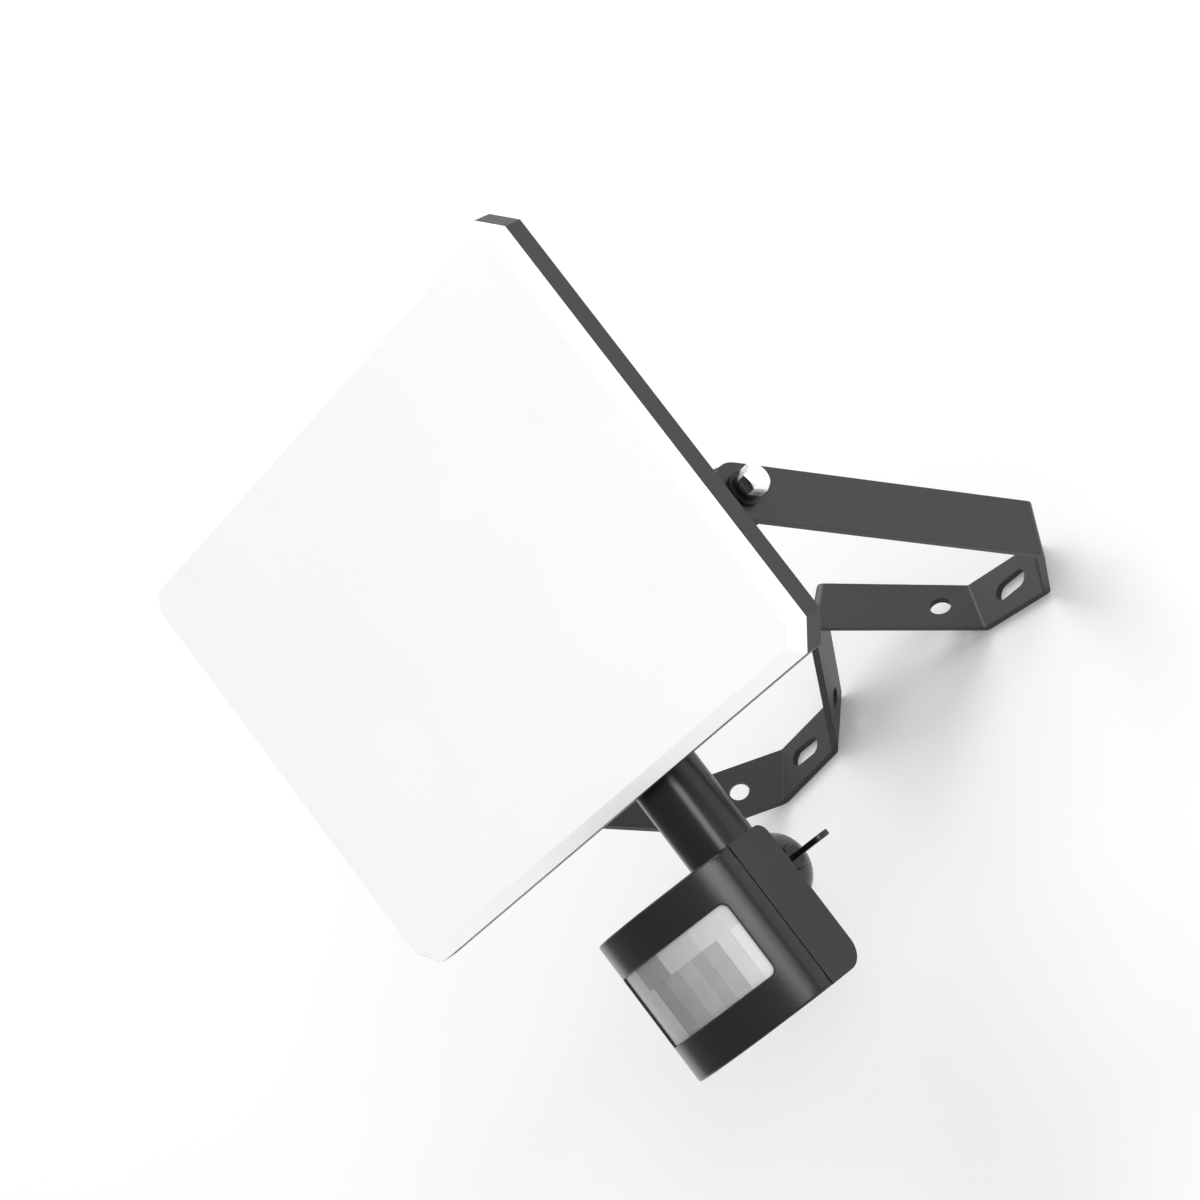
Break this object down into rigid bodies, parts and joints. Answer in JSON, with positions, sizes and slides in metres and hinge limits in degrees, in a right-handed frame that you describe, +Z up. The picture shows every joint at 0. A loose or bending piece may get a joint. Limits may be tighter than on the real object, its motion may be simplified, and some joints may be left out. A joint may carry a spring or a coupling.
{
  "type": "smart outdoor floodlight",
  "caption": "Outdoor floodlight with an opal front, a motion sensor head on a turning neck, and a folded steel wall bracket.",
  "frame": {"origin": "on the wall, midway between the two slots of the bracket's feet", "axes": "+X to the right along the wall for someone facing it, +Y into the wall, +Z up; the lamp faces forwards and down"},
  "size_m": [0.257, 0.2672, 0.2275],
  "materials": {
    "bracket_paint": "satin dark grey powder coat on steel",
    "housing_paint": "satin dark grey powder coat on cast aluminium",
    "bright_steel": "bright zinc plated",
    "black_steel": "blackened steel",
    "opal": "opal white diffuser",
    "seal_rubber": "black seal rubber",
    "board_aluminium": "white lacquered aluminium board",
    "diode": "yellow phosphor",
    "board": "green circuit board",
    "can_aluminium": "plain can",
    "white_plastic": "white moulding",
    "black_plastic": "satin black moulding",
    "lens_plastic": "milky moulded lens"
  },
  "bodies": {
    "bracket": {"wall_bracket": "bracket_paint"},
    "lamp": {"rear_housing": "housing_paint", "driver_cover": "housing_paint", "driver_cover_screws": "bright_steel", "opal_front": "opal", "front_gasket": "seal_rubber", "led_board": "board_aluminium", "led_chips": "diode", "driver_board": "board", "driver_transformer": "black_plastic", "driver_capacitors": "can_aluminium", "terminal_block": "white_plastic", "wifi_board": "board", "wifi_shield": "bright_steel", "gland_body": "black_plastic", "gland_nut": "black_plastic", "gland_lock_nut": "black_plastic", "vent_plug": "black_plastic", "friction_disc_right": "seal_rubber", "flat_washer_right": "black_steel", "spring_washer_right": "black_steel", "pivot_bolt_right": "bright_steel", "friction_disc_left": "seal_rubber", "flat_washer_left": "black_steel", "spring_washer_left": "black_steel", "pivot_bolt_left": "bright_steel", "sensor_neck": "black_plastic", "neck_rear_strip": "black_plastic", "neck_nut": "black_plastic"},
    "swivel": {"sensor_knuckle": "black_plastic", "swivel_ring": "black_plastic", "clamp_nut": "bright_steel"},
    "wing": {"wing_screw": "black_plastic"},
    "sensor": {"sensor_front_shell": "black_plastic", "sensor_rear_shell": "black_plastic", "sensor_lens": "lens_plastic", "sensor_board": "board", "motion_detector": "bright_steel", "light_cell": "lens_plastic", "sensor_screws": "bright_steel"}
  },
  "joints": [
    {"name": "lamp_tilt", "type": "hinge", "parent": "bracket", "child": "lamp", "pos_m": [0, -0.159, -0.03898], "axis": [1, 0, 0], "range_deg": [-42, 48]},
    {"name": "sensor_pan", "type": "hinge", "parent": "lamp", "child": "swivel", "pos_m": [0, -0.09566, -0.10844], "axis": [0, -0.6691, 0.7431], "range_deg": [-60, 60]},
    {"name": "sensor_tilt", "type": "hinge", "parent": "swivel", "child": "sensor", "pos_m": [0, -0.07717, -0.11103], "axis": [1, 0, 0], "range_deg": [0, 40]},
    {"name": "wing_turn", "type": "hinge", "parent": "swivel", "child": "wing", "pos_m": [0, -0.07717, -0.11103], "axis": [1, 0, 0], "continuous": true}
  ]
}
